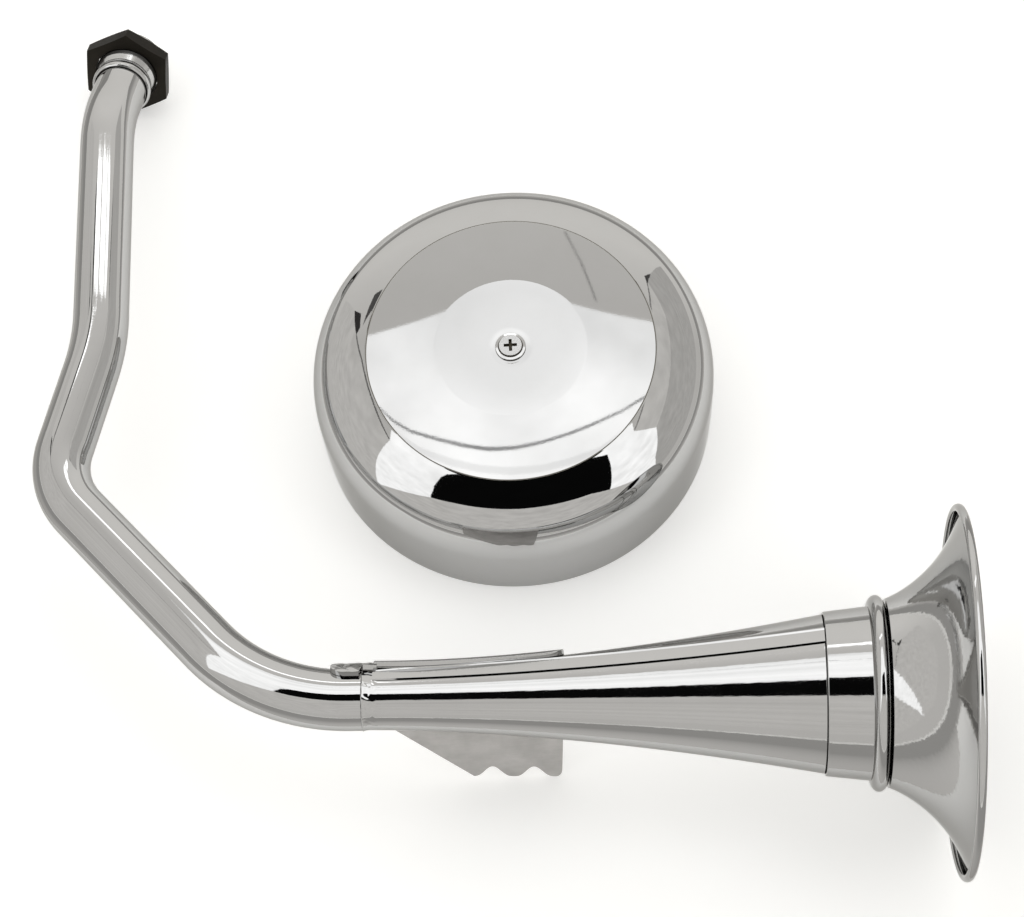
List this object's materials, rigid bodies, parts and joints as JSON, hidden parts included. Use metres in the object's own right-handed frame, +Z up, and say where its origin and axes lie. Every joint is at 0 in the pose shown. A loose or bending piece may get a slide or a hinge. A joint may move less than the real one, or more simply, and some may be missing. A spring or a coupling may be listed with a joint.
{
  "type": "trumpet horn",
  "caption": "Electric boat trumpet horn laid out in two units: a bent chromed trumpet with its nut and bracket, and a driver under a round chromed screwed cover.",
  "frame": {"origin": "centre of the whole set's bounding box, on the surface that it lies on", "axes": "+X along the bell's axis towards its mouth, +Z up from the surface, +Y from the bell towards the far end of the neck"},
  "size_m": [0.2926, 0.3236, 0.1143],
  "materials": {
    "chrome_plate": "polished nickel-chromium plating on brass and steel",
    "brushed_plate": "dull plated steel, brushed",
    "black_steel": "black-oxide steel, oiled",
    "plain_steel": "zinc-plated and plain steel",
    "cast_alloy": "die-cast zinc alloy, as cast",
    "black_paint": "black stove enamel on pressed steel",
    "brass": "turned and stamped brass",
    "copper_wire": "enamelled copper wire",
    "fibre": "vulcanised fibre sheet",
    "phenolic": "brown phenolic laminate and moulding"
  },
  "bodies": {
    "horn_set": {"neck_ferrule": "chrome_plate", "neck_tube": "chrome_plate", "throat_cone": "chrome_plate", "bell_collar": "chrome_plate", "bell_flare": "chrome_plate", "mounting_bracket": "brushed_plate", "sound_plate": "cast_alloy", "front_gasket": "fibre", "diaphragm": "plain_steel", "back_gasket": "fibre", "driver_housing": "black_paint", "pole_core": "plain_steel", "pillar_nut": "plain_steel", "coil_bobbin": "phenolic", "coil_winding": "copper_wire", "contact_arm_post": "brass", "fixed_contact_arm": "brass", "contact_block": "phenolic", "lock_nut": "plain_steel", "terminal_bush_a": "phenolic", "terminal_stud_a": "brass", "terminal_nut_a": "brass", "terminal_bush_b": "phenolic", "terminal_stud_b": "brass", "terminal_nut_b": "brass", "flange_screw_1": "plain_steel", "flange_screw_2": "plain_steel", "flange_screw_3": "plain_steel", "flange_screw_4": "plain_steel", "flange_screw_5": "plain_steel", "flange_screw_6": "plain_steel"},
    "coupling_nut_body": {"coupling_nut": "black_steel"},
    "cover_body": {"dome_cover": "chrome_plate"},
    "cover_screw_body": {"cover_screw": "chrome_plate"},
    "armature_body": {"armature": "plain_steel", "armature_nut": "brass"},
    "contact_arm_body": {"moving_contact_arm": "brass"},
    "adjusting_screw_body": {"adjusting_screw": "plain_steel"}
  },
  "joints": [
    {"name": "coupling_nut_spin", "type": "hinge", "parent": "horn_set", "child": "coupling_nut_body", "pos_m": [-0.13031, 0.14701, 0.01681], "axis": [-0.0992, -0.898, 0.4286], "continuous": true},
    {"name": "cover_lift", "type": "slide", "parent": "horn_set", "child": "cover_body", "axis": [0, 0, 1], "range_m": [0, 0.06]},
    {"name": "cover_screw_turn", "type": "hinge", "parent": "cover_body", "child": "cover_screw_body", "pos_m": [0.00738, 0.02171, 0.0452], "axis": [0, 0, 1], "continuous": true},
    {"name": "armature_slide", "type": "slide", "parent": "horn_set", "child": "armature_body", "axis": [0, 0, 1], "range_m": [0, 0.0008], "stiffness_N_per_m": 8000, "deforming": ["diaphragm"]},
    {"name": "contact_arm_hinge", "type": "hinge", "parent": "horn_set", "child": "contact_arm_body", "pos_m": [0.04638, 0.02171, 0.02155], "axis": [0, 1, 0], "range_deg": [0, 3.53]},
    {"name": "adjusting_screw_turn", "type": "hinge", "parent": "horn_set", "child": "adjusting_screw_body", "pos_m": [0.04338, 0.02871, 0.0416], "axis": [0, 0, 1], "range_deg": [-180, 180]}
  ],
  "couplings": [
    {"joint": "contact_arm_hinge", "follows": "armature_slide", "rad_per_m": 76.9}
  ]
}
